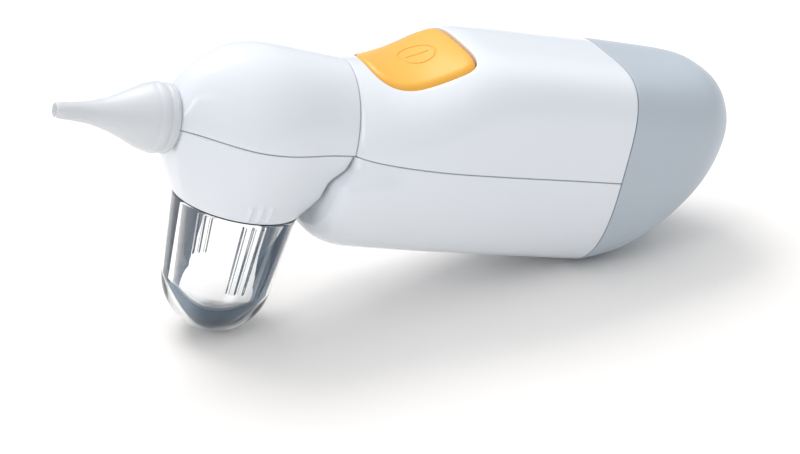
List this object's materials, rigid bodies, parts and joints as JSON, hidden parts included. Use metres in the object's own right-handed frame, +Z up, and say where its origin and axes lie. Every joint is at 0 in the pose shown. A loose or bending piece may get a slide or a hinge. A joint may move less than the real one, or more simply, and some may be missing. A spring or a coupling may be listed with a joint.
{
  "type": "nasal aspirator",
  "caption": "Battery nasal aspirator: silicone tip, clear collection cup, white handle with power button and pump inside, grey battery cover.",
  "frame": {"origin": "centre of the bounding box's underside: the level that the cup and the rear of the underside stand on", "axes": "+X towards the battery cover, -X towards the nose tip, +Z up, symmetric across Y; the device stands pitched nose-up by 16.5 degrees"},
  "size_m": [0.1689, 0.045, 0.0699],
  "materials": {
    "gloss_white": "smooth glossy moulded white",
    "satin_grey": "satin light blue-grey moulding",
    "amber_plastic": "satin amber moulding",
    "clear_plastic": "clear polished moulding",
    "silicone": "translucent milky silicone, satin",
    "clear_hose": "translucent soft tube",
    "black_rubber": "matt black",
    "grey_plastic": "moulded grey",
    "black_plastic": "moulded black",
    "board_green": "green solder mask",
    "can_steel": "plated drawn can",
    "spring_steel": "bright steel",
    "magnet": "dark sintered magnet",
    "brass": "turned brass",
    "copper_winding": "enamelled copper winding",
    "nickel": "nickel-plated spring steel",
    "cell_jacket": "plain dark blue jacket",
    "wire_red": "red insulation",
    "wire_black": "black insulation"
  },
  "bodies": {
    "handle": {"handle_upper_shell": "gloss_white", "handle_lower_shell": "gloss_white", "suction_port": "gloss_white", "port_seal": "black_rubber", "switch_body": "black_plastic", "circuit_board": "board_green", "motor_can": "can_steel", "motor_end_cap": "black_plastic", "motor_magnet_left": "magnet", "motor_magnet_right": "magnet", "pump_bracket": "grey_plastic", "diaphragm": "black_rubber", "pump_chamber": "grey_plastic", "pump_cover": "grey_plastic", "inlet_valve": "black_rubber", "outlet_valve": "black_rubber", "suction_hose": "clear_hose", "battery_tray": "black_plastic", "front_contact_plate": "nickel", "front_contact_spring": "nickel", "button_spring": "spring_steel", "shell_screw_left": "spring_steel", "shell_screw_right": "spring_steel", "pump_screw_left": "spring_steel", "pump_screw_right": "spring_steel", "board_screw_left": "spring_steel", "board_screw_right": "spring_steel", "supply_wire_left": "wire_black", "supply_wire_right": "wire_red", "motor_wire_left": "wire_black", "motor_wire_right": "wire_red"},
    "head": {"head_upper_shell": "gloss_white", "head_lower_shell": "gloss_white", "nozzle_spigot": "gloss_white", "splash_baffle": "gloss_white", "cup_seal": "black_rubber"},
    "tip": {"silicone_tip": "silicone"},
    "cup": {"collection_cup": "clear_plastic"},
    "button": {"power_button": "amber_plastic"},
    "plunger": {"switch_plunger": "black_plastic"},
    "rotor": {"motor_shaft": "spring_steel", "motor_armature": "copper_winding", "crank_eccentric": "brass"},
    "rod": {"connecting_rod": "gloss_white"},
    "cover": {"battery_cover": "satin_grey", "contact_bridge": "nickel", "rear_contact_spring": "nickel"},
    "cells": {"battery_cell_left": "cell_jacket", "battery_cell_right": "cell_jacket"}
  },
  "joints": [
    {"name": "head_pull", "type": "slide", "parent": "handle", "child": "head", "axis": [-0.9588, 0, 0.284], "range_m": [0, 0.03]},
    {"name": "tip_pull", "type": "slide", "parent": "head", "child": "tip", "axis": [-0.9588, 0, 0.284], "range_m": [0, 0.025]},
    {"name": "cup_pull", "type": "slide", "parent": "head", "child": "cup", "axis": [-0.284, 0, -0.9588], "range_m": [0, 0.03]},
    {"name": "button_press", "type": "slide", "parent": "handle", "child": "button", "axis": [0.0192, 0, -0.9998], "range_m": [0, 0.0006], "stiffness_N_per_m": 2500, "deforming": ["button_spring"]},
    {"name": "plunger_press", "type": "slide", "parent": "handle", "child": "plunger", "axis": [0.0192, 0, -0.9998], "range_m": [0, 0.0006]},
    {"name": "motor_spin", "type": "hinge", "parent": "handle", "child": "rotor", "pos_m": [-0.003, 0, 0.0375], "axis": [0.9588, 0, -0.284], "continuous": true, "deforming": ["diaphragm"]},
    {"name": "rod_orbit", "type": "hinge", "parent": "rotor", "child": "rod", "pos_m": [-0.00257, 0, 0.03894], "axis": [0.9588, 0, -0.284], "continuous": true},
    {"name": "cover_pull", "type": "slide", "parent": "handle", "child": "cover", "axis": [0.9588, 0, -0.284], "range_m": [0, 0.1]},
    {"name": "cells_out", "type": "slide", "parent": "handle", "child": "cells", "axis": [0.9588, 0, -0.284], "range_m": [0, 0.055]}
  ],
  "couplings": [
    {"joint": "plunger_press", "follows": "button_press", "ratio": 1},
    {"joint": "rod_orbit", "follows": "motor_spin", "ratio": -1},
    {"joint": "cells_out", "follows": "cover_pull", "ratio": 0.55}
  ]
}
